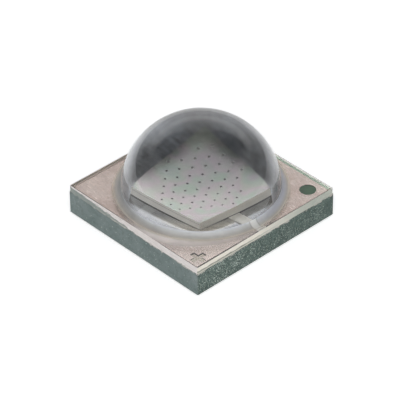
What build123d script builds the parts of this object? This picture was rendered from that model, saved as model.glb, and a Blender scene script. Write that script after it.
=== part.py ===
"""High-power surface-mount LED in a square ceramic package with a moulded dome.

Millimetres, +Z up. The origin is the middle of the package at the level of its
solder pads, so the part stands on z = 0. The two sides that meet at the plus
sign look along +X and -Y.

From the bottom up: three plated pads, a ceramic tile with filled via holes, a
thin metal layer split into an anode and a cathode, a flip chip that is soldered
across the split, and one clear silicone moulding that covers the whole tile as
a film and rises over the chip as a dome.
"""

from build123d import *
from math import atan2, degrees, sqrt
import os

# Ceramic tile, sawn square out of a larger panel
package_side = 3.45
ceramic_thickness = 0.475

# Plated solder pads on the underside: two strips and a wide middle pad
pad_thickness = 0.035
pad_edge_margin = 0.075
side_pad_width = 0.50
thermal_pad_width = 1.30

# Metal layer on top of the tile
trace_thickness = 0.03
trace_edge_margin = 0.065
trace_corner_radius = 0.04

# Pale strip of filler that keeps anode and cathode apart. Its leg along X stands
# proud of the metal from a little way off the chip to the edge
gap_width = 0.19
gap_leg_x = -0.215
gap_leg_y = -0.050
filler_rise = 0.015
filler_to_chip_clearance = 0.13

# Marks in the metal: a plus at the anode corner, a round window at the next one
plus_span = 0.32
plus_arm_width = 0.10
plus_depth = 0.018
plus_inset = 0.27
window_diameter = 0.315
window_inset = 0.335

# Filled via holes through the tile, under the metal and over the side pads
via_diameter = 0.20
anode_via_pitch = 0.50
cathode_via_pitch = 1.60
vias_per_side = 2

# Flip chip: solder, carrier, contact metal with posts, mirror, emitting layer.
# It sits a hair nearer the plus corner than the middle of the package
chip_side = 1.34
chip_offset_x = 0.050
chip_offset_y = -0.040
die_solder_thickness = 0.012
die_solder_inset = 0.03
carrier_thickness = 0.078
contact_thickness = 0.008
mirror_thickness = 0.006
emitter_thickness = 0.026

# Contact posts: rows along X, every second row shifted by half a pitch, so that
# they stand in triangles. The rows are listed from the front: how many posts
# each has, and by how many pitches it lies off the field's middle
post_width = 0.030
post_sides = 8
post_pitch = 0.169
post_row_spacing = 0.128
post_field_x = 0.045
post_field_y = -0.052
posts_per_row = [3, 4, 5, 6, 7, 8, 7, 6, 5, 4]
row_shifts = [0, 0, 0, 0, 0, 0, 0, 0, -1, -1]

# Clear silicone moulding
film_thickness = 0.135
film_corner_radius = 0.06
dome_radius = 1.50
dome_centre_below_film = 0.045
dome_foot_radius = 0.12

# Levels that follow
half_side = package_side / 2
ceramic_bottom = pad_thickness
ceramic_top = ceramic_bottom + ceramic_thickness
trace_top = ceramic_top + trace_thickness
solder_top = trace_top + die_solder_thickness
carrier_top = solder_top + carrier_thickness
contact_top = carrier_top + contact_thickness
mirror_top = contact_top + mirror_thickness
emitter_top = mirror_top + emitter_thickness
film_top = ceramic_top + film_thickness
dome_centre = film_top - dome_centre_below_film

# Places that follow
metal_edge = half_side - trace_edge_margin
side_pad_x = half_side - pad_edge_margin - side_pad_width / 2
pad_length = package_side - 2 * pad_edge_margin
anode_left = gap_leg_x + gap_width / 2
anode_back = gap_leg_y - gap_width / 2
chip_place = Pos(chip_offset_x, chip_offset_y)
chip_right = chip_offset_x + chip_side / 2
solder_side = chip_side - 2 * die_solder_inset


def slab(sketch, bottom, height):
    """A flat sketch raised from one level by its height."""
    return extrude(Pos(0, 0, bottom) * sketch, amount=height)


def box_between(x_from, x_to, y_from, y_to):
    """A rectangle given by its four sides."""
    width = x_to - x_from
    depth = y_to - y_from
    return Pos((x_from + x_to) / 2, (y_from + y_to) / 2) * Rectangle(width, depth)


# Solder pads
side_pad = Rectangle(side_pad_width, pad_length)
anode_pad = slab(Pos(side_pad_x, 0) * side_pad, 0, pad_thickness)
cathode_pad = slab(Pos(-side_pad_x, 0) * side_pad, 0, pad_thickness)
thermal_pad = slab(Rectangle(thermal_pad_width, pad_length), 0, pad_thickness)

# Via places: each row is centred under its own piece of metal
anode_middle_y = (anode_back - metal_edge) / 2


def via_places(x, middle_y, pitch):
    """Centres of one row of vias along Y."""
    first = middle_y - pitch * (vias_per_side - 1) / 2
    return [(x, first + pitch * number) for number in range(vias_per_side)]


anode_via_places = via_places(side_pad_x, anode_middle_y, anode_via_pitch)
cathode_via_places = via_places(-side_pad_x, 0, cathode_via_pitch)


def via_fill(place):
    """The metal that fills one hole from pad to trace."""
    return slab(Pos(*place) * Circle(via_diameter / 2), ceramic_bottom, ceramic_thickness)


anode_vias = [via_fill(place) for place in anode_via_places]
cathode_vias = [via_fill(place) for place in cathode_via_places]

# Ceramic tile with its via holes
ceramic = slab(Rectangle(package_side, package_side), ceramic_bottom, ceramic_thickness)
for fill in anode_vias + cathode_vias:
    ceramic -= fill

# Metal layer: one plated square, split by an L-shaped gap. The gap leaves the
# anode as the corner at +X, -Y and the cathode as the other three quarters.
plated_square = RectangleRounded(2 * metal_edge, 2 * metal_edge, trace_corner_radius)
anode_corner = box_between(anode_left, half_side, -half_side, anode_back)
corner_with_gap = box_between(
    anode_left - gap_width, half_side, -half_side, anode_back + gap_width
)
anode_outline = plated_square & anode_corner
cathode_outline = plated_square - corner_with_gap
gap_outline = plated_square & (corner_with_gap - anode_corner)

plus_x = half_side - plus_inset
plus_outline = Rectangle(plus_span, plus_arm_width) + Rectangle(plus_arm_width, plus_span)
plus_recess = slab(Pos(plus_x, -plus_x) * plus_outline, trace_top - plus_depth, plus_depth)
anode_trace = slab(anode_outline, ceramic_top, trace_thickness) - plus_recess

window_x = half_side - window_inset
window = Pos(window_x, window_x) * Circle(window_diameter / 2)
cathode_trace = slab(cathode_outline - window, ceramic_top, trace_thickness)

# Filler: level with the metal, slightly proud of it on the +X side of the chip
proud_area = box_between(
    chip_right + filler_to_chip_clearance, half_side, -half_side, half_side
)
proud_outline = gap_outline & proud_area
trace_gap_filler = slab(gap_outline, ceramic_top, trace_thickness)
trace_gap_filler += slab(proud_outline, trace_top, filler_rise)

# Solder under the chip, held back from the chip's edge and from the gap
solder_square = chip_place * Rectangle(solder_side, solder_side)
solder_gap = box_between(
    anode_left - gap_width - die_solder_inset,
    half_side,
    -half_side,
    anode_back + gap_width + die_solder_inset,
)
anode_solder_area = box_between(
    anode_left + die_solder_inset, half_side, -half_side, anode_back - die_solder_inset
)
anode_solder = slab(solder_square & anode_solder_area, trace_top, die_solder_thickness)
cathode_solder = slab(solder_square - solder_gap, trace_top, die_solder_thickness)

# Underfill: closes the slit between metal and chip wherever there is no solder
chip_square = chip_place * Rectangle(chip_side, chip_side)
underfill = slab(chip_square, trace_top, die_solder_thickness)
underfill = underfill - anode_solder - cathode_solder

# Chip layers
carrier = slab(chip_square, solder_top, carrier_thickness)


def post_places():
    """Centres of the contact posts, row by row from the front."""
    places = []
    for row, (count, shift) in enumerate(zip(posts_per_row, row_shifts)):
        y = post_field_y + (row - (len(posts_per_row) - 1) / 2) * post_row_spacing
        for column in range(count):
            x = post_field_x + (column - (count - 1) / 2 + shift) * post_pitch
            places.append((x, y))
    return places


post = RegularPolygon(post_width / 2, post_sides, major_radius=False)
posts = [Pos(x, y) * post for x, y in post_places()]
pierced_square = chip_square - posts
mirror = slab(pierced_square, contact_top, mirror_thickness)
emitter = slab(pierced_square, mirror_top, emitter_thickness)
contact_layer = slab(chip_square, carrier_top, contact_thickness)
contact_layer += slab(chip_square & (Sketch() + posts), contact_top, emitter_top - contact_top)

# Dome: a ball cap that runs into the film through a small hollow round
foot_height = film_top + dome_foot_radius - dome_centre
foot_centre_x = sqrt((dome_radius + dome_foot_radius) ** 2 - foot_height ** 2)
meeting_angle = degrees(atan2(foot_height, foot_centre_x))
film_middle = film_top - film_thickness / 2
dome_line = CenterArc(
    (0, dome_centre), dome_radius, meeting_angle, 90 - meeting_angle
)
foot_line = CenterArc(
    (foot_centre_x, film_top + dome_foot_radius),
    dome_foot_radius,
    180 + meeting_angle,
    90 - meeting_angle,
)
closing_line = Polyline(
    (foot_centre_x, film_top),
    (foot_centre_x, film_middle),
    (0, film_middle),
    (0, dome_centre + dome_radius),
)
dome_profile = make_face(Plane.XZ * (dome_line + foot_line + closing_line))
dome = revolve(dome_profile, Axis.Z)

# Silicone moulding: film and dome in one, cast round everything on the tile
film_outline = RectangleRounded(package_side, package_side, film_corner_radius)
silicone_lens = slab(film_outline, ceramic_top, film_thickness) + dome
chip_block = slab(chip_square, trace_top, emitter_top - trace_top)
for covered in [anode_trace, cathode_trace, trace_gap_filler, chip_block]:
    silicone_lens -= covered

nodes = {
    "ceramic_substrate": ceramic,
    "anode_pad": anode_pad,
    "cathode_pad": cathode_pad,
    "thermal_pad": thermal_pad,
    "anode_trace": anode_trace,
    "cathode_trace": cathode_trace,
    "trace_gap_filler": trace_gap_filler,
    "die_anode_solder": anode_solder,
    "die_cathode_solder": cathode_solder,
    "die_underfill": underfill,
    "die_carrier": carrier,
    "die_contact_layer": contact_layer,
    "die_mirror": mirror,
    "die_emitter": emitter,
    "silicone_lens": silicone_lens,
}
for number, fill in enumerate(anode_vias, start=1):
    nodes[f"anode_via_{number}"] = fill
for number, fill in enumerate(cathode_vias, start=1):
    nodes[f"cathode_via_{number}"] = fill

os.makedirs("parts", exist_ok=True)
for name, shape in nodes.items():
    export_step(shape, f"parts/{name}.step")
    print(f"{name}: {len(shape.solids())} solid, {shape.volume:.5f} cubic millimetres")
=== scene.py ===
# %% [markdown]
# # A surface-mount LED, dressed for its portrait
# The construction comes from CAD: a ceramic tile, thin metal, a flip chip and a
# block that stands for the clear moulding. This script keeps those solids where
# they are and gives each one its finish. It remodels only what the eye needs
# finer than CAD gives it: the clear moulding, the round contact posts and the
# grains along the sawn faces. Everything is in metres, so a size in millimetres
# is times `MM`.

# %% Load the frame
import bpy
import bmesh
import math
from mathutils import Matrix, Vector


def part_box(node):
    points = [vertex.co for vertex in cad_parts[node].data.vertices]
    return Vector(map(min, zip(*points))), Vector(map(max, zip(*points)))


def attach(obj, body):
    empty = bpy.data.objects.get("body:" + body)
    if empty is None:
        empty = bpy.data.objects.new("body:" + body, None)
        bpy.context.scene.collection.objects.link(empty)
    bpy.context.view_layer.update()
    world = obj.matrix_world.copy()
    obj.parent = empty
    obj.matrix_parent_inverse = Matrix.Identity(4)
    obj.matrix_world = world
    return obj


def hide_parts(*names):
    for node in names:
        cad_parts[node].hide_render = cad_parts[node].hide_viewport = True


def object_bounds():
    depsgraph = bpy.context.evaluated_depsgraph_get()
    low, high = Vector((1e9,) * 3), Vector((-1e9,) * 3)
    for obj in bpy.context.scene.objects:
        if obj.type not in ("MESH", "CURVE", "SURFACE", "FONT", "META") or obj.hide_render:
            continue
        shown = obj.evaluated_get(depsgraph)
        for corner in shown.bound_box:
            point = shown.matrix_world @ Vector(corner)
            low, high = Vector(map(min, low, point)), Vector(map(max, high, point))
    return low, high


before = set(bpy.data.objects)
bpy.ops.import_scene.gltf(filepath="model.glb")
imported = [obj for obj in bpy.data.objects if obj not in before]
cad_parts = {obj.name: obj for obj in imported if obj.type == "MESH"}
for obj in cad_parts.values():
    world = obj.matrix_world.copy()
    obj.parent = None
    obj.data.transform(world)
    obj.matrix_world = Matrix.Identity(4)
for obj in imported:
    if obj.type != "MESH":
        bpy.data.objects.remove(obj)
cad_low, cad_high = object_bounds()
MM = 0.001
print("CAD box in mm:", [round(v / MM, 3) for v in (cad_high - cad_low)])

# %% [markdown]
# ## Camera
# The photograph was taken with a long lens from well above the near corner. Its
# angles were found from the four corners of the package, so the camera is set
# from them: where it looks from, how far the picture is turned, and how far the
# package's middle lies from the middle of the picture. The last half pixel of
# that came from laying the render over the photograph.

# %% Camera
camera_azimuth = math.radians(46.91)
camera_elevation = math.radians(36.92)
camera_turn = math.radians(-0.58)
camera_distance = 50.223 * MM
camera_right = -0.027 * MM
camera_up = 0.267 * MM
focal_pixels = 2700.0
picture_pixels = 400.0
sensor_width = 36.0

back = Vector((
    math.sin(camera_azimuth) * math.cos(camera_elevation),
    -math.cos(camera_azimuth) * math.cos(camera_elevation),
    math.sin(camera_elevation),
))
level_right = Vector((math.cos(camera_azimuth), math.sin(camera_azimuth), 0))
level_up = back.cross(level_right)
right = math.cos(camera_turn) * level_right + math.sin(camera_turn) * level_up
up = math.cos(camera_turn) * level_up - math.sin(camera_turn) * level_right

camera_data = bpy.data.cameras.new("camera")
camera = bpy.data.objects.new("camera", camera_data)
bpy.context.scene.collection.objects.link(camera)
camera_data.sensor_width = sensor_width
camera_data.lens = focal_pixels * sensor_width / picture_pixels
camera_data.clip_start = camera_distance / 50
camera_data.clip_end = camera_distance * 50
camera.matrix_world = Matrix.Translation(
    back * camera_distance + right * camera_right + up * camera_up
) @ Matrix((right, up, back)).transposed().to_4x4()
bpy.context.scene.camera = camera
print("Lens", round(camera_data.lens, 1), "mm")

# %% [markdown]
# ## Nodes: a small kit
# Finishes, light and repeated shapes are all made of nodes. `add_node` makes one
# with its settings and inputs, and `wire` feeds a node that is there already.
# The sums have short names, since they are used everywhere below.

# %% Node kit: nodes
def wire(tree, node, **inputs):
    """Feeds a node's inputs with sockets or plain values.

    In an input's name _ stands for a space, and n3 means input number 3."""
    for label, value in inputs.items():
        numbered = label[0] == "n" and label[1:].isdigit()
        socket = node.inputs[int(label[1:]) if numbered else label.replace("_", " ")]
        if isinstance(value, bpy.types.NodeSocket):
            tree.links.new(value, socket)
        else:
            socket.default_value = value
    return node


def add_node(tree, kind, settings=None, **inputs):
    """A new node with its settings and inputs."""
    node = tree.nodes.new(kind)
    for label, value in (settings or {}).items():
        setattr(node, label, value)
    return wire(tree, node, **inputs)


# %% Node kit: sums of numbers, each a socket or a plain value
def maths(tree, operation, first, second=0.0):
    """One sum of two numbers, by the name of its operation."""
    return add_node(tree, "ShaderNodeMath", {"operation": operation},
                    n0=first, n1=second).outputs[0]


def plus(tree, first, second):
    """Two numbers added."""
    return maths(tree, "ADD", first, second)


def minus(tree, first, second):
    """The second number taken from the first."""
    return maths(tree, "SUBTRACT", first, second)


def times(tree, first, *others):
    """All the numbers multiplied."""
    for other in others:
        first = maths(tree, "MULTIPLY", first, other)
    return first


def largest(tree, first, *others):
    """The largest of the numbers."""
    for other in others:
        first = maths(tree, "MAXIMUM", first, other)
    return first


def apart(tree, first, second):
    """How far two numbers are apart."""
    return maths(tree, "ABSOLUTE", minus(tree, first, second))


def above(tree, value, limit):
    """One where the value is above the limit, else nothing."""
    return maths(tree, "GREATER_THAN", value, limit)


def below(tree, value, limit):
    """One where the value is below the limit, else nothing."""
    return maths(tree, "LESS_THAN", value, limit)


def mix_value(tree, factor, first, second):
    """Two numbers mixed."""
    return plus(tree, times(tree, first, minus(tree, 1.0, factor)), times(tree, second, factor))


def remap(tree, value, low, high, to_low=0.0, to_high=1.0, smooth=False):
    """A value's range turned into another range, held at its ends."""
    settings = {"interpolation_type": "SMOOTHSTEP" if smooth else "LINEAR"}
    node = add_node(tree, "ShaderNodeMapRange", settings, Value=value,
                    From_Min=low, From_Max=high, To_Min=to_low, To_Max=to_high)
    return node.outputs["Result"]


# %% Node kit: vectors
def parts_of(tree, vector):
    """X, Y and Z of a vector."""
    split = add_node(tree, "ShaderNodeSeparateXYZ", Vector=vector)
    return split.outputs["X"], split.outputs["Y"], split.outputs["Z"]


def length_of(tree, vector):
    """How long a vector is."""
    node = add_node(tree, "ShaderNodeVectorMath", {"operation": "LENGTH"}, n0=vector)
    return node.outputs["Value"]


print("Node kit ready")

# %% [markdown]
# ## Materials: a small kit
# Every finish is a Principled shader whose colour comes from noise, and in many
# also the roughness and a bump. The noise reads Object coordinates, which stay
# with the piece when it moves. A Mapping node turns metres into millimetres
# first, so that a noise scale of 10 means about ten grains to the millimetre.

# %% Material kit: start and noise
def new_material(name):
    """A fresh material; returns it with its tree, its shader and mm coordinates."""
    material = bpy.data.materials.new(name)
    material.use_nodes = True
    tree = material.node_tree
    places = tree.nodes.new("ShaderNodeTexCoord").outputs["Object"]
    to_mm = add_node(tree, "ShaderNodeMapping", Vector=places, Scale=(1 / MM,) * 3)
    return material, tree, tree.nodes["Principled BSDF"], to_mm.outputs["Vector"]


def noise(tree, where, scale, detail=4.0, roughness=0.55, stretch=(1, 1, 1)):
    """Noise with that many grains to the millimetre, squeezed along the axes."""
    squeezed = add_node(tree, "ShaderNodeMapping", Vector=where, Scale=stretch)
    grain = add_node(tree, "ShaderNodeTexNoise", Vector=squeezed.outputs["Vector"],
                     Scale=scale, Detail=detail, Roughness=roughness)
    return grain.outputs["Fac"]


# %% Material kit: colours
def srgb(red, green, blue):
    """A colour as an image program shows it (0 to 255), as light."""
    def linear(value):
        value /= 255
        return value / 12.92 if value <= 0.04045 else ((value + 0.055) / 1.055) ** 2.4
    return tuple(linear(value) for value in (red, green, blue))


def ramp(tree, value, stops):
    """Colours along a value; stops are (position, (r, g, b))."""
    node = add_node(tree, "ShaderNodeValToRGB", Fac=value)
    elements = node.color_ramp.elements
    while len(elements) < len(stops):
        elements.new(1.0)
    for element, (position, colour) in zip(elements, stops):
        element.position = position
        element.color = (*colour, 1)
    return node.outputs["Color"]


def clouds(tree, value, low, dark, high, light):
    """A dark colour up to one value, a light one from the other."""
    return ramp(tree, value, [(low, dark), (high, light)])


def mix(tree, factor, first, second, blend="MIX"):
    """Two colours mixed; factor and colours may be sockets or plain values."""
    first, second = [(*colour, 1) if isinstance(colour, tuple) else colour
                     for colour in (first, second)]
    return add_node(tree, "ShaderNodeMix", {"data_type": "RGBA", "blend_type": blend},
                    n0=factor, n6=first, n7=second).outputs[2]


# %% Material kit: relief and facing
def bump(tree, shader, height, depth):
    """Small relief; depth is in metres."""
    node = add_node(tree, "ShaderNodeBump", Strength=1.0, Distance=depth, Height=height)
    wire(tree, shader, Normal=node.outputs["Normal"])


def facing(tree):
    """X, Y and Z of the way the surface faces."""
    return parts_of(tree, tree.nodes.new("ShaderNodeNewGeometry").outputs["Normal"])


print("Material kit ready")

# %% [markdown]
# ## Ceramic
# The tile is a dark green-grey ceramic, sawn out of a panel. The saw leaves the
# four faces unlike each other: the one that looks along +X is rough and full of
# pale grains, fewer toward its far corner, and the next one is smoother and a
# little paler. So the way the surface faces decides how many specks it shows. The
# saw's pits are painted darker, as shade in them. At the very top a little of the
# casting is smeared over the saw line, in a ragged edge. The tile's top shows
# only in the window and round the metal: it is greener there, with a thin line
# along the edge that is painted pale at the back, as light, and painted dark
# toward +X, as the shade along the metal's edge.

# %% Ceramic: the sawn faces
tile_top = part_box("ceramic_substrate")[1].z / MM
smear_starts = 0.105

ceramic, tree, shader, where = new_material("green_ceramic")
across, along_y, height = parts_of(tree, where)
face_x, _, face_z = facing(tree)
cloud = noise(tree, where, 2.6, 4)
specks = noise(tree, where, 36, 3, 0.7)
pits = noise(tree, where, 14, 4, 0.7)
patches = noise(tree, where, 3.4, 3, 0.6)
rough_face = remap(tree, face_x, 0.3, 0.9)
body_smooth = clouds(tree, cloud, 0.3, srgb(98, 114, 112), 0.7, srgb(122, 134, 133))
body_rough = clouds(tree, cloud, 0.3, srgb(60, 78, 72), 0.7, srgb(82, 101, 94))
body = mix(tree, rough_face, body_smooth, body_rough)
# Painted shade: the saw's pits are darker, as shade in them.
pit_shade = times(tree, remap(tree, pits, 0.38, 0.50, 0.75, 0.0),
                 remap(tree, rough_face, 0.0, 1.0, 0.35, 1.0))
pit_shaded = mix(tree, pit_shade, body, srgb(40, 56, 50))
few = remap(tree, specks, 0.62, 0.72, 0.0, 0.45)
clustered = plus(tree, specks, remap(tree, patches, 0.35, 0.65, -0.05, 0.04))
many = times(tree, remap(tree, clustered, 0.55, 0.63),
             remap(tree, along_y, -0.9, 0.9, 0.95, 0.5))
speckled = mix(tree, mix_value(tree, rough_face, few, many), pit_shaded, srgb(190, 203, 194))
ragged = plus(tree, height, times(tree, noise(tree, where, 6, 5, 0.75), 0.24))
smear = remap(tree, ragged, tile_top + smear_starts, tile_top + smear_starts + 0.01, 0.0, 0.85)
smeared = times(tree, smear, remap(tree, across, -1.4, -0.5, 0.3, 1.0))
sides = mix(tree, smeared, speckled, srgb(196, 192, 184))

# %% Ceramic: the top
edge_line = (1.60, 1.64)

front_reach = largest(tree, across, times(tree, along_y, -1.0))
back_reach = largest(tree, times(tree, across, -1.0), along_y)
green_top = mix(tree, 0.85, body, srgb(70, 124, 84))
# Painted light: the margin is pale at the back.
back_margin_light = mix(tree, remap(tree, along_y, *edge_line), srgb(252, 238, 230), srgb(214, 240, 222))
margins = mix(tree, remap(tree, back_reach, *edge_line), green_top, back_margin_light)
# Painted shade: toward +X the margin is dark at the front, as the shade along the metal's edge.
right_margin_shade = mix(tree, remap(tree, along_y, -0.2, 1.1), srgb(44, 38, 40), srgb(150, 130, 116))
front_tone = mix(tree, remap(tree, across, *edge_line), srgb(190, 180, 168), right_margin_shade)
top = mix(tree, remap(tree, front_reach, 1.62, 1.64), margins, front_tone)
on_side = remap(tree, face_z, 0.3, 0.6, 1.0, 0.0)
wire(tree, shader, Base_Color=mix(tree, on_side, top, sides), Roughness=0.6)
bump(tree, shader, specks, 0.006 * MM)
print("Ceramic top at", round(tile_top, 3), "mm")

# %% [markdown]
# ## Top metal
# The metal on the tile is plated: a pinkish silver that mirrors softly, with
# clouds and fine streaks from its bath. A mirror shows its surroundings, so most
# of its look comes from the studio; its own share is the tint and the streaks.
# Under the dome the metal is painted a cooler, darker grey, as the cooler,
# darker light it mirrors there. Toward the front corner it is painted paler, as
# light, and calmer. Inside the sunken plus it is painted greyer, as shade in the
# recess, and a line of shade lies along its far edges, which draws its outline.
# The metal's little walls, the plus's among them, are painted dark, as shade, but
# the outer walls toward -Y, -X and +Y are painted pale, as light, and a painted
# shadow line runs just inside the edge toward +X. Along the chip's front corner
# the metal is painted pale, as light where it would mirror the chip's dark walls.
# Outside the dome the plating is dulled, most of all close to the hazy ring.

# %% Top metal: its plating
metal_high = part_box("anode_trace")[1]
metal_top = metal_high.z / MM
metal_edge = metal_high.x / MM
chip_right = 0.72
chip_front = -0.71
dome_foot = (1.48, 1.58)

top_metal, tree, shader, where = new_material("top_metal")
across, along_y, height = parts_of(tree, where)
frontward = minus(tree, across, along_y)
from_middle = length_of(tree, where)
cloud = noise(tree, where, 2.3, 6, 0.62)
streak = noise(tree, where, 7, 4, 0.6, (1, 4, 1))
fleck = noise(tree, where, 22, 2, 0.5)
pinkish = ramp(tree, cloud, [(0.34, srgb(218, 203, 196)), (0.5, srgb(234, 220, 214)),
                             (0.66, srgb(244, 234, 228))])
# Painted light: the metal is paler toward the front corner.
painted_front_light = mix(tree, remap(tree, frontward, 1.4, 2.6), pinkish, srgb(255, 246, 242))
# Painted: under the dome a cooler, darker grey, as the light the metal mirrors there.
silver = clouds(tree, cloud, 0.34, srgb(158, 161, 166), 0.66, srgb(180, 183, 188))
from_chip = largest(tree, minus(tree, across, chip_right), minus(tree, chip_front, along_y))
# Painted light: pale along the chip's front corner, where the metal would mirror the chip's dark
# walls.
chip_corner_light = times(tree, remap(tree, from_chip, 0.17, 0.27, 0.95, 0.0),
                remap(tree, frontward, 0.75, 1.2))
open_metal = remap(tree, from_middle, *dome_foot)
base = mix(tree, open_metal, mix(tree, chip_corner_light, silver, srgb(240, 239, 236)), painted_front_light)
calm = remap(tree, frontward, 1.4, 2.8, 1.0, 0.35)
shade = clouds(tree, streak, 0.32, (0.80, 0.79, 0.78), 0.62, (1, 1, 1))
shaded = mix(tree, calm, base, shade, "MULTIPLY")
flecks = times(tree, remap(tree, fleck, 0.60, 0.70, 0.0, 0.35), calm)
flecked = mix(tree, flecks, shaded, srgb(150, 140, 134))

# %% Top metal: the sunken plus
plus_middle = 1.455
plus_arm = 0.05
plus_reach = 0.16
plus_shade = 0.022

sunken = remap(tree, height, metal_top - 0.008, metal_top - 0.003, 1.0, 0.0)
off_x = apart(tree, across, plus_middle + plus_shade)
off_y = apart(tree, along_y, -plus_middle - plus_shade)


def in_bar(half_x, half_y):
    """Below one inside an upright bar of the plus, moved toward the camera's side."""
    return largest(tree, maths(tree, "DIVIDE", off_x, half_x),
                   maths(tree, "DIVIDE", off_y, half_y))


in_plus = maths(tree, "MINIMUM", in_bar(plus_arm, plus_reach), in_bar(plus_reach, plus_arm))
far_edge_shade = times(tree, sunken, below(tree, frontward, 2 * plus_middle),
                  above(tree, in_plus, 1.0))
# Painted shade: the floor of the sunken plus is greyer, and its far edges are dark.
with_recess_shade = mix(tree, times(tree, sunken, 0.7), flecked, srgb(214, 214, 200))

# %% Top metal: its edges and its gloss
outer_wall = metal_edge - 0.02

_, face_y, face_z = facing(tree)
walls = remap(tree, face_z, 0.3, 0.7, 1.0, 0.0)
# Painted shade: a dark line just inside the metal's edge toward +X, strongest at the front.
rim_shade = times(tree, remap(tree, across, metal_edge - 0.026, metal_edge - 0.016, 0.0, 0.9),
                 remap(tree, along_y, -0.2, 0.9, 1.0, 0.15))
# Painted light and shade: little walls are dark, the outer walls toward -Y, -X and +Y pale.
outer_lit = times(tree, walls, remap(tree, face_y, -0.9, -0.6, 1.0, 0.0),
                  below(tree, along_y, -outer_wall))
lit_outer_walls = largest(tree, outer_lit, below(tree, across, -outer_wall),
                     above(tree, along_y, outer_wall))
wall_light_and_shade = mix(tree, lit_outer_walls, srgb(38, 32, 36), srgb(168, 154, 144))
near_ring = remap(tree, from_middle, 1.62, 1.86, 0.6, 0.2)
worn = times(tree, open_metal, mix_value(tree, remap(tree, frontward, 1.0, 2.2), 0.2, near_ring))
wire(tree, shader,
     Base_Color=mix(tree, largest(tree, walls, far_edge_shade, rim_shade), with_recess_shade, wall_light_and_shade),
     Metallic=minus(tree, 1.0, times(tree, worn, 0.9)),
     Roughness=plus(tree, remap(tree, streak, 0.3, 0.7, 0.12, 0.2), times(tree, open_metal, 0.08)))
print("Top metal at", round(metal_top, 3), "mm")

# %% [markdown]
# ## Pads, vias and solder
# The pads below have the same kind of plating, warmer and cleaner. The vias are
# plain copper and the solder is dull. One helper makes all three.

# %% Pads, vias and solder
def plated_metal(name, dark, light, roughness, stretch):
    """A plated surface with clouds and fine streaks."""
    material, tree, shader, where = new_material(name)
    cloud = noise(tree, where, 1.4, 5, 0.6)
    streak = noise(tree, where, 9, 4, 0.6, stretch)
    base = clouds(tree, cloud, 0.32, dark, 0.68, light)
    shade = clouds(tree, streak, 0.3, (0.86, 0.86, 0.86), 0.7, (1, 1, 1))
    wire(tree, shader, Base_Color=mix(tree, 1.0, base, shade, "MULTIPLY"), Metallic=0.85,
         Roughness=remap(tree, streak, 0.3, 0.7, roughness, roughness + 0.12))
    bump(tree, shader, streak, 0.001 * MM)
    return material


pad_metal = plated_metal("pad_metal", srgb(214, 196, 160), srgb(232, 216, 182), 0.32, (1, 2, 1))
via_metal = plated_metal("via_copper", srgb(170, 108, 80), srgb(196, 128, 96), 0.4, (1, 1, 1))
solder_metal = plated_metal("die_solder", srgb(176, 170, 158), srgb(200, 194, 180), 0.45,
                            (1, 1, 1))

# %% [markdown]
# ## Pale pastes
# The filler between the two metal areas is a white paste. Where it stands proud,
# beside the chip, it is bright; the level leg in front has been rolled over with
# the metal and nearly takes its tone. The underfill under the chip is painted
# dark, as the shade in the gap under the chip, and pale at the chip's front
# corner, as light. The chip's carrier is nearly white, with painted shade on the
# side that looks along +X.

# %% Pastes
def paste(name, dark, light, roughness):
    """A matt, slightly mottled paste; returns its colour too."""
    material, tree, shader, where = new_material(name)
    mottle = noise(tree, where, 8, 4)
    colour = clouds(tree, mottle, 0.3, dark, 0.7, light)
    wire(tree, shader, Base_Color=colour, Roughness=roughness)
    bump(tree, shader, mottle, 0.004 * MM)
    return material, tree, shader, where, colour


gap_paste, tree, shader, where, pale = paste(
    "gap_filler", srgb(226, 224, 216), srgb(244, 242, 236), 0.45)
proud_leg = remap(tree, parts_of(tree, where)[0], 0.55, 0.6)
rolled = mix(tree, remap(tree, length_of(tree, where), *dome_foot),
             srgb(178, 180, 184), srgb(214, 200, 194))
wire(tree, shader, Base_Color=mix(tree, proud_leg, rolled, pale),
     Metallic=remap(tree, proud_leg, 0.0, 1.0, 1.0, 0.55),
     Roughness=remap(tree, proud_leg, 0.0, 1.0, 0.2, 0.45))

underfill_shade, tree, shader, where, dark = paste(
    "underfill", srgb(44, 42, 42), srgb(66, 62, 60), 0.55)
across, along_y, _ = parts_of(tree, where)
# Painted shade: the underfill is dark, as the gap's shade; painted light: pale at the chip's front
# corner.
front_corner_light = remap(tree, minus(tree, across, along_y), 0.9, 1.35)
wire(tree, shader, Base_Color=mix(tree, front_corner_light, dark, srgb(186, 182, 176)))

carrier_paste, tree, shader, where, pale = paste(
    "chip_carrier", srgb(244, 240, 232), srgb(254, 251, 244), 0.45)
# Painted shade: darker on the side that looks along +X.
shade = mix(tree, remap(tree, facing(tree)[0], 0.3, 0.7), (1.0, 1.0, 1.0), (0.62, 0.61, 0.58))
wire(tree, shader, Base_Color=mix(tree, 1.0, pale, shade, "MULTIPLY"), Metallic=0.15)
print("Pastes: filler, underfill, carrier")

# %% [markdown]
# ## Chip
# The chip's face is a thin crystal film over a silver mirror, so it mirrors the
# studio like the metal does, but dimmer. Where the film is a little thicker or
# thinner it tints pink or green, faintly, like oil on water. Toward its corner
# at -X and -Y it is painted a little lighter, as light. Its cut walls are pale
# and matt, with painted shade on those that look along +X. The post ends are
# dark in the middle of the field; toward the front and the back the face's sheen
# is painted over them, so they shine and nearly take the face's tone. The sheet
# that carries them shows its edge only, and that is as pale as the walls.

# %% Chip face
chip_face, tree, shader, where = new_material("chip_face")
across, along_y, _ = parts_of(tree, where)
face_x, _, face_z = facing(tree)
tint = noise(tree, where, 2.1, 2, 0.5)
fine = noise(tree, where, 34, 2)
tints = ramp(tree, tint, [
    (0.30, srgb(160, 171, 161)), (0.42, srgb(174, 165, 169)),
    (0.52, srgb(168, 170, 164)), (0.62, srgb(161, 171, 163)), (0.74, srgb(173, 166, 173)),
])
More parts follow.
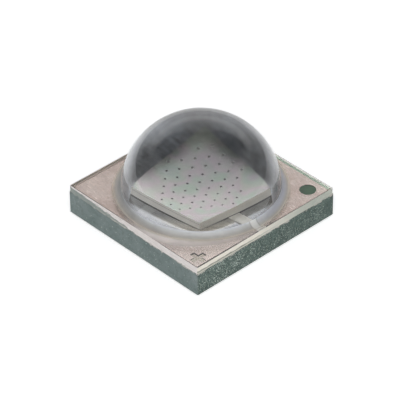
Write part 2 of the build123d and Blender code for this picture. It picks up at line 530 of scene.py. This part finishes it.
# Painted light: the face is a little lighter toward its -X -Y corner.
left_corner_light = remap(tree, plus(tree, across, along_y), -1.1, -0.1, 0.06, 0.0)
lit_tints = mix(tree, left_corner_light, tints, srgb(250, 246, 246))
walls = remap(tree, face_z, 0.3, 0.7, 1.0, 0.0)
# Painted shade: the walls that look along +X are darker.
walls_lit_and_shaded = mix(tree, remap(tree, face_x, 0.3, 0.7), srgb(255, 252, 244), srgb(208, 203, 192))
wire(tree, shader, Base_Color=mix(tree, walls, lit_tints, walls_lit_and_shaded),
     Metallic=remap(tree, walls, 0.0, 1.0, 0.95, 0.15),
     Roughness=plus(tree, remap(tree, fine, 0.3, 0.7, 0.15, 0.2), times(tree, walls, 0.3)))

# %% Contact posts and their sheet
above_sheet = (0.640, 0.645)

contact_dark, tree, shader, where = new_material("contact_post")
across, along_y, height = parts_of(tree, where)
frontward = minus(tree, across, along_y)
fine = noise(tree, where, 40, 2)
# Painted sheen: toward the front and the back the face's sheen covers the post ends.
face_sheen = largest(tree, remap(tree, frontward, 0.45, 1.05, 0.0, 0.8),
                   remap(tree, frontward, -1.0, -0.2, 0.6, 0.0))
dark_end = clouds(tree, fine, 0.3, srgb(58, 56, 60), 0.7, srgb(78, 75, 78))
post_end = mix(tree, face_sheen, dark_end, srgb(176, 176, 172))
wire(tree, shader, Metallic=face_sheen, Roughness=0.5,
     Base_Color=mix(tree, remap(tree, height, *above_sheet), srgb(206, 201, 190), post_end))
print("Chip finishes: face, contact posts")

# %% [markdown]
# ## Clear silicone
# The moulding is optical silicone: clear as glass, a touch less dense, so its
# index is about 1.5. The dome came out of a polished mould. The hollow round at
# its foot did not: it is hazy, and so it shows as a soft grey ring. Its inner
# edge is painted a pale bluish line, as the light gathered at the dome's foot,
# reaching further out on the side toward +X and +Y. Where the pale strip of
# filler runs out below, the ring is paler between two thin dark lines, painted
# as the shade along the strip's edges. The haze thins out over the film's top,
# last of all toward the front corner. The film's four sides were sawn with the
# tile and are frosted: cream toward +X, rosy toward -Y, each torn and greenish
# at its outer end, and at the back they let more light through. Toward the front
# of the +X side a thin dark line is painted across them at about the metal's
# level, as the shade at the step.

# %% Clear silicone: the dome
silicone_index = 1.52

clear_silicone, tree, shader, where = new_material("clear_silicone")
ripple = noise(tree, where, 3, 2)
nearly_white = clouds(tree, ripple, 0.3, (0.985, 0.99, 0.985), 0.7, (1, 1, 1))
wire(tree, shader, Base_Color=nearly_white, Roughness=0.0,
     Transmission_Weight=1.0, IOR=silicone_index)

# %% Hazy silicone: the hollow round and the film's top
strip_middle = -0.12
strip_half = 0.08

hazy_silicone, tree, shader, where = new_material("hazy_silicone")
across, along_y, _ = parts_of(tree, where)
frontward = minus(tree, across, along_y)
side_to_side = plus(tree, across, along_y)
radius = maths(tree, "SQRT", plus(tree, times(tree, across, across),
                                  times(tree, along_y, along_y)))
# Painted light: a pale bluish line at the ring's inner edge, wider toward +X and +Y.
by_radius = ramp(tree, remap(tree, radius, 1.49, 1.68), [
    (0.0, srgb(232, 235, 242)), (0.09, srgb(210, 211, 209)), (0.48, srgb(214, 211, 203)),
    (0.70, srgb(240, 230, 214)), (1.0, srgb(255, 247, 242))])
clouded = clouds(tree, noise(tree, where, 5, 3), 0.3, (0.86, 0.86, 0.87), 0.7, (1, 1, 1))
foot_light_right = times(tree, remap(tree, side_to_side, 1.3, 2.1, 0.0, 0.8),
                     remap(tree, radius, 1.53, 1.59, 1.0, 0.0))
foot_lit = mix(tree, foot_light_right, by_radius, srgb(232, 236, 250))
hazed = mix(tree, 1.0, foot_lit, clouded, "MULTIPLY")
at_right = above(tree, across, 0.0)
from_strip = apart(tree, along_y, strip_middle)
over_strip = times(tree, at_right,
                   remap(tree, from_strip, strip_half - 0.03, strip_half, 0.7, 0.0))
# Painted shade: thin dark lines along the strip's edges.
strip_edge_shade = times(tree, at_right,
                   remap(tree, apart(tree, from_strip, strip_half), 0.0, 0.018, 0.4, 0.0))
bright_strip = mix(tree, over_strip, hazed, srgb(255, 255, 252))
cloudy = remap(tree, frontward, 0.8, 2.3, 0.52, 0.38)
thinning = remap(tree, radius, 1.60, 1.68, smooth=True)
front_haze = times(tree, remap(tree, frontward, 1.3, 2.1),
                   remap(tree, side_to_side, -0.8, 0.8, 0.7, 0.3),
                   remap(tree, radius, 1.66, 1.98, 1.0, 0.0, smooth=True))
wire(tree, shader, IOR=silicone_index,
     Base_Color=mix(tree, strip_edge_shade, bright_strip, srgb(120, 116, 110)),
     Transmission_Weight=mix_value(tree, thinning, cloudy, minus(tree, 1.0, front_haze)),
     Roughness=mix_value(tree, thinning, 0.35, 0.0))

# %% Sawn silicone: the film's sides
film_bottom = 0.51
film_level = 0.645

sawn_silicone, tree, shader, where = new_material("sawn_silicone")
across, along_y, height = parts_of(tree, where)
face_x, _, _ = facing(tree)
toward_x = remap(tree, face_x, 0.3, 0.7)
saw = noise(tree, where, 7, 4, 0.6, (1, 1, 4))


def saw_tones(dark, light):
    """Two tones in the stripes that the saw left."""
    return clouds(tree, saw, 0.3, dark, 0.7, light)


cream = saw_tones(srgb(236, 229, 215), srgb(254, 249, 238))
rosy = saw_tones(srgb(222, 214, 210), srgb(244, 238, 236))
smeared = mix(tree, toward_x, saw_tones(srgb(118, 130, 126), srgb(150, 158, 152)),
              saw_tones(srgb(160, 168, 158), srgb(190, 194, 184)))
torn = times(tree, remap(tree, saw, 0.3, 0.7, -1.0, 1.0), 0.35)
torn_line = remap(tree, plus(tree, across, times(tree, torn, 0.8)), -1.7, 0.3, 0.64, 0.51)
left_part = remap(tree, minus(tree, torn_line, height), 0.0, 0.014, 0.0, 0.95)
right_part = remap(tree, plus(tree, along_y, torn), -0.3, 1.0, 0.0, 0.9)
by_place = mix(tree, mix_value(tree, toward_x, left_part, right_part),
               mix(tree, toward_x, rosy, cream), smeared)
# Painted shade: a thin dark line at about the metal's level, toward the front of the +X side.
step_height = remap(tree, plus(tree, height, times(tree, torn, 0.03)), film_bottom, film_level)
step_shade_colour = (0.30, 0.33, 0.31)
step_shade_line = ramp(tree, step_height, [(0.16, (0.72, 0.74, 0.72)), (0.24, step_shade_colour),
                                     (0.36, step_shade_colour), (0.46, (1, 1, 1))])
line_there = times(tree, toward_x, remap(tree, along_y, -0.6, 0.4, 1.0, 0.0))
lined = mix(tree, line_there, by_place, mix(tree, 1.0, by_place, step_shade_line, "MULTIPLY"))
at_back = largest(tree, remap(tree, face_x, -0.7, -0.2, 1.0, 0.0),
                  remap(tree, along_y, 1.700, 1.718))
wire(tree, shader, IOR=silicone_index,
     Base_Color=mix(tree, at_back, lined, srgb(250, 253, 250)),
     Transmission_Weight=remap(tree, at_back, 0.0, 1.0, 0.1, 0.95),
     Roughness=remap(tree, at_back, 0.0, 1.0, 0.55, 1.0))
bump(tree, shader, saw, 0.003 * MM)
print("Silicone finishes: clear, hazy, sawn")

# %% [markdown]
# ## Dressing the CAD nodes
# A CAD node whose shape is right only needs its finish, so its material slot is
# pointed at one of the materials above.

# %% Dress the CAD nodes
finishes = {
    "ceramic_substrate": ceramic,
    "anode_pad": pad_metal,
    "cathode_pad": pad_metal,
    "thermal_pad": pad_metal,
    "anode_trace": top_metal,
    "cathode_trace": top_metal,
    "trace_gap_filler": gap_paste,
    "die_anode_solder": solder_metal,
    "die_cathode_solder": solder_metal,
    "die_underfill": underfill_shade,
    "die_carrier": carrier_paste,
    "die_contact_layer": contact_dark,
    "die_mirror": chip_face,
    "die_emitter": chip_face,
    "anode_via_1": via_metal,
    "anode_via_2": via_metal,
    "cathode_via_1": via_metal,
    "cathode_via_2": via_metal,
}
for name, material in finishes.items():
    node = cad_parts[name]
    node.data.materials.clear()
    node.data.materials.append(material)
print(len(finishes), "CAD nodes dressed")

# %% [markdown]
# ## Geometry Nodes: a small kit
# What repeats is made with Geometry Nodes. A tree is built here by hand: its
# named inputs are its sizes, and it ends by making the copies real and giving
# them their material. Its result is then taken as a plain mesh, and the
# modifier goes.

# %% Geometry Nodes kit: start and end of a tree
def node_tree(name, inputs):
    """A tree that takes a geometry and the named number inputs."""
    tree = bpy.data.node_groups.new(name, "GeometryNodeTree")
    tree.interface.new_socket("Geometry", in_out="INPUT", socket_type="NodeSocketGeometry")
    for label in inputs:
        tree.interface.new_socket(label, in_out="INPUT", socket_type="NodeSocketFloat")
    tree.interface.new_socket("Geometry", in_out="OUTPUT", socket_type="NodeSocketGeometry")
    return tree, tree.nodes.new("NodeGroupInput"), tree.nodes.new("NodeGroupOutput")


def end_tree(tree, geometry, result, material):
    """Makes the copies real, gives them their material and ends the tree."""
    real = add_node(tree, "GeometryNodeRealizeInstances", Geometry=geometry)
    finish = add_node(tree, "GeometryNodeSetMaterial", Geometry=real.outputs[0],
                      Material=material)
    wire(tree, result, n0=finish.outputs[0])
    print(tree.name, "-", len(tree.nodes), "nodes")


# %% Geometry Nodes kit: from tree to plain mesh
def grow(name, start_mesh, tree, sizes):
    """Runs a tree on a mesh and returns the result as a finished object."""
    carrier = bpy.data.objects.new(name, start_mesh)
    bpy.context.scene.collection.objects.link(carrier)
    modifier = carrier.modifiers.new("nodes", "NODES")
    modifier.node_group = tree
    sockets = {item.name: item.identifier for item in tree.interface.items_tree
               if item.in_out == "INPUT"}
    for label, value in sizes.items():
        modifier[sockets[label]] = value
    depsgraph = bpy.context.evaluated_depsgraph_get()
    result = bpy.data.meshes.new_from_object(carrier.evaluated_get(depsgraph))
    carrier.modifiers.remove(modifier)
    carrier.data = result
    print(name, "-", len(result.polygons), "faces")
    return carrier


# %% [markdown]
# ## Contact posts
# Under the chip's face a metal sheet sends thin round posts up through it; their
# ends are the dark dots. They stand in rows, each row half a pitch off the last,
# three posts in the front row, one more in each until the longest, and then
# fewer again; from the third row past the longest on they stand one pitch
# further toward -X. Since that is a rule, a tree can make them: numbered points,
# of which the number gives the row and the column, then one post on each.

# %% The tree of the posts: where they stand
g, given, result = node_tree("contact_posts", [
    "Pitch", "Row spacing", "Longest row", "Longest row number", "Rows",
    "Middle X", "Middle Y", "Post radius", "Post bottom", "Post top",
    "Sheet side", "Sheet X", "Sheet Y", "Sheet bottom", "Sheet top",
])
posts_tree = g
size = given.outputs


def middle(low, high):
    """Half-way between two of the tree's sizes."""
    return maths(g, "DIVIDE", plus(g, size[low], size[high]), 2.0)


number = g.nodes.new("GeometryNodeInputIndex").outputs[0]
row = maths(g, "FLOOR", maths(g, "DIVIDE", number, size["Longest row"]))
column = maths(g, "MODULO", number, size["Longest row"])
past_longest = minus(g, row, size["Longest row number"])
in_row = minus(g, size["Longest row"], maths(g, "ABSOLUTE", past_longest))
half_row = maths(g, "DIVIDE", minus(g, in_row, 1.0), 2.0)
shifted = above(g, past_longest, 2.5)
step_x = minus(g, minus(g, column, half_row), shifted)
step_y = minus(g, row, maths(g, "DIVIDE", minus(g, size["Rows"], 1.0), 2.0))
place = add_node(g, "ShaderNodeCombineXYZ",
                 X=plus(g, size["Middle X"], times(g, step_x, size["Pitch"])),
                 Y=plus(g, size["Middle Y"], times(g, step_y, size["Row spacing"])),
                 Z=middle("Post bottom", "Post top"))
points = add_node(g, "GeometryNodePoints", Count=times(g, size["Rows"], size["Longest row"]))
placed = add_node(g, "GeometryNodeSetPosition", Geometry=points.outputs[0],
                  Position=place.outputs[0])
kept = add_node(g, "GeometryNodeDeleteGeometry", {"domain": "POINT"},
                Geometry=placed.outputs[0], Selection=above(g, column, minus(g, in_row, 0.5)))

# %% The tree of the posts: posts, sheet and end
post = add_node(g, "GeometryNodeMeshCylinder", Vertices=20, Radius=size["Post radius"],
                Depth=minus(g, size["Post top"], size["Post bottom"]))
copies = add_node(g, "GeometryNodeInstanceOnPoints", Points=kept.outputs[0],
                  Instance=post.outputs["Mesh"])
sheet_size = add_node(g, "ShaderNodeCombineXYZ", X=size["Sheet side"], Y=size["Sheet side"],
                      Z=minus(g, size["Sheet top"], size["Sheet bottom"]))
sheet = add_node(g, "GeometryNodeMeshCube", Size=sheet_size.outputs[0])
sheet_place = add_node(g, "ShaderNodeCombineXYZ", X=size["Sheet X"], Y=size["Sheet Y"],
                       Z=middle("Sheet bottom", "Sheet top"))
sheet_there = add_node(g, "GeometryNodeTransform", Geometry=sheet.outputs["Mesh"],
                       Translation=sheet_place.outputs[0])
together = g.nodes.new("GeometryNodeJoinGeometry")
for piece in (sheet_there, copies):
    g.links.new(piece.outputs[0], together.inputs[0])
end_tree(g, together.outputs[0], result, contact_dark)

# %% Grow the posts
post_pitch = 0.169 * MM
row_spacing = 0.128 * MM
field_x, field_y = 0.045 * MM, -0.052 * MM
post_radius = 0.015 * MM
root_in_sheet = 0.002 * MM

layer_low, layer_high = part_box("die_contact_layer")
sheet_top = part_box("die_mirror")[0].z
posts = grow("contact_posts", bpy.data.meshes.new("contact_posts_start"), posts_tree, {
    "Pitch": post_pitch, "Row spacing": row_spacing,
    "Longest row": 8.0, "Longest row number": 5.0, "Rows": 10.0,
    "Middle X": field_x, "Middle Y": field_y, "Post radius": post_radius,
    "Post bottom": sheet_top - root_in_sheet, "Post top": layer_high.z,
    "Sheet side": layer_high.x - layer_low.x,
    "Sheet X": (layer_low.x + layer_high.x) / 2, "Sheet Y": (layer_low.y + layer_high.y) / 2,
    "Sheet bottom": layer_low.z, "Sheet top": sheet_top,
})
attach(posts, "root")
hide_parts("die_contact_layer")

# %% [markdown]
# ## Grains on the sawn faces
# The saw tears grains out of the ceramic, and pale crumbs stay on its faces,
# most of them along the upper edge. The tree scatters tiny uneven stones on
# four upright strips: a dense band at the top, a thin dusting below. The seed
# is fixed, so the same crumbs come back every time.

# %% Strips that the grains sit on
half_side = cad_high.x
tile_low, tile_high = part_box("ceramic_substrate")


def sawn_strips(low, high, inset):
    """Four upright strips round the tile, from one height to another."""
    mesh = bmesh.new()
    reach = half_side - inset
    corners = [(reach, -reach), (reach, reach), (-reach, reach), (-reach, -reach)]
    for (x0, y0), (x1, y1) in zip(corners, corners[1:] + corners[:1]):
        mesh.faces.new([mesh.verts.new(point) for point in
                        ((x0, y0, low), (x1, y1, low), (x1, y1, high), (x0, y0, high))])
    result = bpy.data.meshes.new("sawn_strips")
    mesh.to_mesh(result)
    mesh.free()
    return result


# %% The tree of the grains
grain_material, tree, shader, where = new_material("ceramic_grain")
wire(tree, shader, Roughness=0.6, Base_Color=clouds(
    tree, noise(tree, where, 12, 2), 0.35, srgb(140, 156, 146), 0.65, srgb(196, 202, 190)))

g, given, result = node_tree("sawn_grains", ["Density", "Grain size", "Seed"])
grain_tree = g
size = given.outputs
scatter = add_node(g, "GeometryNodeDistributePointsOnFaces", Mesh=size["Geometry"],
                   Density=size["Density"], Seed=size["Seed"])
stone = add_node(g, "GeometryNodeMeshIcoSphere", Radius=size["Grain size"], Subdivisions=1)


def random_vector(low, high):
    """Three random numbers for each stone."""
    return add_node(g, "FunctionNodeRandomValue", {"data_type": "FLOAT_VECTOR"},
                    n0=low, n1=high, Seed=size["Seed"]).outputs[0]


spread = random_vector((0.3, 0.3, 0.3), (1.5, 1.0, 1.0))
turn = random_vector((0, 0, 0), (6.28, 6.28, 6.28))
stones = add_node(g, "GeometryNodeInstanceOnPoints", Points=scatter.outputs["Points"],
                  Instance=stone.outputs["Mesh"], Rotation=turn, Scale=spread)
end_tree(g, stones.outputs[0], result, grain_material)

# %% Grow the grains
per_square_mm = 1 / (MM * MM)
grain_size = 0.011 * MM
strip_inset = 0.003 * MM

for name, low, high, density, seed in (
        ("sawn_grains_edge", tile_high.z - 0.03 * MM, tile_high.z + 0.01 * MM, 260, 4),
        ("sawn_grains_face", tile_low.z + 0.01 * MM, tile_high.z - 0.02 * MM, 70, 9)):
    grains = grow(name, sawn_strips(low, high, strip_inset), grain_tree, {
        "Density": density * per_square_mm, "Grain size": grain_size, "Seed": float(seed)})
    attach(grains, "root")

# %% [markdown]
# ## The moulding
# Film, hollow round and dome are one casting. Seen from above, each level of it
# is a ring: circles up the dome, the package's rounded square along the film.
# So the mesh is a stack of rings with the same number of points, joined by
# quads. Every ring takes its directions from the rounded square, which puts
# enough points at the corners. The bands below the dome take the hazy finish as
# far as the film's edge, and from there down they take the sawn one.

# %% Sizes of the moulding
film_top = film_level * MM
dome_radius = 1.50 * MM
dome_centre = film_top - 0.045 * MM
foot_radius = 0.12 * MM
corner_radius = 0.03 * MM
arris = 0.008 * MM
side_relief = 0.002 * MM
sink_into_tile = 0.004 * MM
lens_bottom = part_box("silicone_lens")[0].z
lens_half = half_side - side_relief

points_per_corner = 7
points_per_side = 31
dome_rings = 48
foot_rings = 10


# %% Outlines of the moulding
def rounded_square(half, radius):
    """Points round a square with rounded corners, starting on the +X side."""
    points = []
    straight = half - radius
    for quarter in range(4):
        turn = math.pi / 2 * quarter
        side = [Vector((half, -straight + 2 * straight * step / points_per_side))
                for step in range(1, points_per_side)]
        corner = [Vector((straight + radius * math.cos(angle),
                          straight + radius * math.sin(angle)))
                  for angle in (math.pi / 2 * step / (points_per_corner - 1)
                                for step in range(points_per_corner))]
        for point in side + corner:
            points.append(Matrix.Rotation(turn, 2) @ point)
    return points


outline = rounded_square(lens_half, corner_radius)
directions = [point.normalized() for point in outline]


def circle_ring(radius, height):
    """A ring of the dome or the foot."""
    return [Vector((*(direction * radius), height)) for direction in directions]


def square_ring(inset, height):
    """A ring along the film's outline."""
    scale = (lens_half - inset) / lens_half
    return [Vector((*(point * scale), height)) for point in outline]


# %% Rings of the moulding
foot_height = film_top + foot_radius - dome_centre
foot_centre = math.sqrt((dome_radius + foot_radius) ** 2 - foot_height ** 2)
meeting = math.atan2(foot_height, foot_centre)

rings = []
for step in range(1, dome_rings + 1):
    angle = math.pi / 2 + (meeting - math.pi / 2) * step / dome_rings
    rings.append(circle_ring(dome_radius * math.cos(angle),
                             dome_centre + dome_radius * math.sin(angle)))
first_foot_ring = len(rings) - 1
for step in range(1, foot_rings + 1):
    angle = math.pi + meeting + (math.pi / 2 - meeting) * step / foot_rings
    rings.append(circle_ring(foot_centre + foot_radius * math.cos(angle),
                             film_top + foot_radius + foot_radius * math.sin(angle)))
last_foot_ring = len(rings) - 1
rings.append(square_ring(arris, film_top))
rings.append(square_ring(0, film_top - arris))
first_side_ring = len(rings) - 2
rings.append(square_ring(0, lens_bottom - sink_into_tile))
print(len(rings), "rings of", len(outline), "points")

# %% Build the moulding
CLEAR, SAWN, HAZY = 0, 1, 2


def finish_of(number):
    """Which finish the band below a ring has."""
    if number >= first_side_ring:
        return SAWN
    return HAZY if first_foot_ring <= number <= last_foot_ring else CLEAR


mesh = bmesh.new()
apex = mesh.verts.new((0, 0, dome_centre + dome_radius))
ring_verts = [[mesh.verts.new(point) for point in ring] for ring in rings]
count = len(outline)
for index in range(count):
    mesh.faces.new((apex, ring_verts[0][index], ring_verts[0][(index + 1) % count]))
for number, (upper, lower) in enumerate(zip(ring_verts, ring_verts[1:])):
    for index in range(count):
        following = (index + 1) % count
        face = mesh.faces.new((upper[index], lower[index], lower[following], upper[following]))
        face.material_index = finish_of(number)
mesh.faces.new(list(reversed(ring_verts[-1])))
bmesh.ops.recalc_face_normals(mesh, faces=mesh.faces)
lens_mesh = bpy.data.meshes.new("clear_moulding")
mesh.to_mesh(lens_mesh)
mesh.free()

# %% Finish the moulding
lens_mesh.polygons.foreach_set("use_smooth", [True] * len(lens_mesh.polygons))
lens_mesh.set_sharp_from_angle(angle=math.radians(35))
lens = bpy.data.objects.new("clear_moulding", lens_mesh)
bpy.context.scene.collection.objects.link(lens)
for material in (clear_silicone, sawn_silicone, hazy_silicone):
    lens_mesh.materials.append(material)
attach(lens, "root")
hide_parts("silicone_lens")
print("Moulding:", len(lens_mesh.polygons), "faces, overall height",
      round((dome_centre + dome_radius) / MM, 3), "mm")

# %% [markdown]
# ## Floor
# A pale floor runs out of the picture on every side. For the camera, and for
# what glass and metal mirror, it is lifted to white, so the paper and the wall
# meet without a line, while the object still throws its soft shadow.

# %% Floor
floor_half = 60 * MM
floor_lift = 0.5
floor_mesh = bpy.data.meshes.new("floor")
floor_mesh.from_pydata(
    [(-floor_half, -floor_half, 0), (floor_half, -floor_half, 0),
     (floor_half, floor_half, 0), (-floor_half, floor_half, 0)], [], [(0, 1, 2, 3)])
floor = bpy.data.objects.new("floor", floor_mesh)
bpy.context.scene.collection.objects.link(floor)


def seen_ray(tree):
    """One for rays from the camera and for those that gloss or glass send on.

    Also returns one for rays from the camera alone."""
    ray = tree.nodes.new("ShaderNodeLightPath").outputs
    seen = largest(tree, ray["Is Camera Ray"], ray["Is Glossy Ray"], ray["Is Transmission Ray"])
    return seen, ray["Is Camera Ray"]


floor_paper = bpy.data.materials.new("floor_paper")
floor_paper.use_nodes = True
tree = floor_paper.node_tree
paper = wire(tree, tree.nodes["Principled BSDF"], Base_Color=(0.86, 0.86, 0.86, 1), Roughness=0.9)
lift = add_node(tree, "ShaderNodeEmission", Strength=times(tree, seen_ray(tree)[0], floor_lift))
both = add_node(tree, "ShaderNodeAddShader", n0=paper.outputs[0], n1=lift.outputs[0])
wire(tree, tree.nodes["Material Output"], Surface=both.outputs[0])
floor_mesh.materials.append(floor_paper)

# %% [markdown]
# ## Studio
# The object stands in a white tent. Its walls are bright, brightest in a band a
# third of the way up, dimmer at the sides. Its roof has a dark opening with two
# sloping edges and a beam across its middle. Metal and chip mirror that opening
# through the dome: it makes the two dark lobes behind the chip. The world draws
# the tent from the direction alone.
# For the camera the tent is plain white, and a weak lamp over the camera's
# shoulder, which gloss doesn't show, fills the shades.

# %% The tent's directions
world = bpy.data.worlds.new("studio")
bpy.context.scene.world = world
world.use_nodes = True
tree = world.node_tree
sky = tree.nodes["Background"]
looks = tree.nodes.new("ShaderNodeTexCoord").outputs["Generated"]


def along(axis):
    """How far a direction goes along an axis."""
    return add_node(tree, "ShaderNodeVectorMath", {"operation": "DOT_PRODUCT"},
                    n0=looks, n1=axis).outputs["Value"]


rearward = along((-math.sin(camera_azimuth), math.cos(camera_azimuth), 0))
sideways = along((math.cos(camera_azimuth), math.sin(camera_azimuth), 0))
upward = along((0, 0, 1))
aside = maths(tree, "ABSOLUTE", sideways)

# %% The tent's roof
roof_slope = 0.54
side_wall = (0.66, 0.86)

roof_height = plus(tree, upward, times(tree, aside, roof_slope))
in_roof = times(tree, remap(tree, roof_height, 0.81, 0.92, smooth=True),
                remap(tree, aside, *side_wall, 1.0, 0.0, smooth=True))
depth_in = plus(tree, minus(tree, rearward, times(tree, sideways, 0.12)),
                remap(tree, aside, 0.30, 0.60, 0.0, 0.24))
opening = times(tree, in_roof, remap(tree, depth_in, -0.04, 0.50, 0.0, 0.91, smooth=True))
beam = times(tree, in_roof, remap(tree, aside, 0.05, 0.24, 1.0, 0.0, smooth=True))
beam_shade = times(tree, beam, remap(tree, rearward, -0.5, -0.02, 0.0, 0.74, smooth=True))
open_there = times(tree, opening, remap(tree, beam, 0.0, 1.0, 1.0, 0.70))
roof_shade = largest(tree, open_there, beam_shade)

# %% The tent's walls
seen, for_camera = seen_ray(tree)
wall = parts_of(tree, ramp(tree, upward, [(height, (level,) * 3) for height, level in (
    (0.0, 0.70), (0.24, 0.80), (0.34, 1.30), (0.42, 1.38), (0.54, 0.94), (0.64, 0.80),
    (0.72, 0.66), (0.82, 0.68), (0.95, 0.34))]))[0]
left_shade = times(tree, remap(tree, sideways, -0.55, 0.0, 0.34, 0.0),
                   remap(tree, rearward, 0.1, 0.4, 1.0, 0.5), seen)
side_light = mix_value(tree, remap(tree, aside, *side_wall), 1.0,
                       remap(tree, rearward, 0.08, 0.48, 1.35, 0.66))
side_band = times(tree, remap(tree, aside, 0.68, 0.82, 0.0, 0.5),
                  remap(tree, upward, 0.14, 0.32), remap(tree, upward, 0.46, 0.56, 1.0, 0.0))
tent = times(tree, wall, minus(tree, 1.0, left_shade), side_light,
             minus(tree, 1.0, side_band), minus(tree, 1.0, roof_shade),
             remap(tree, seen, 0.0, 1.0, 0.9, 1.0))
cool = mix(tree, remap(tree, upward, 0.5, 0.8), (1.0, 1.0, 1.0), (0.92, 0.96, 1.0))
tent_colour = mix(tree, beam, cool, (1.0, 0.95, 0.92))
wire(tree, sky, Color=mix(tree, for_camera, tent_colour, (1.0, 1.0, 1.0)),
     Strength=mix_value(tree, for_camera, tent, 1.0))

# %% Lamp: weak, over the shoulder, not shown by gloss
lamp_place = Vector((28, -28, 42)) * MM
lamp_data = bpy.data.lights.new("shoulder_lamp", "AREA")
lamp_data.size = 50 * MM
lamp_data.energy = 0.012
lamp = bpy.data.objects.new("shoulder_lamp", lamp_data)
bpy.context.scene.collection.objects.link(lamp)
toward_lamp = lamp_place - Vector((0, 0, film_top))
lamp.matrix_world = Matrix.Translation(lamp_place) @ (
    toward_lamp.to_track_quat("Z", "Y").to_matrix().to_4x4())
lamp.visible_glossy = False
bpy.context.scene.view_settings.view_transform = "Standard"
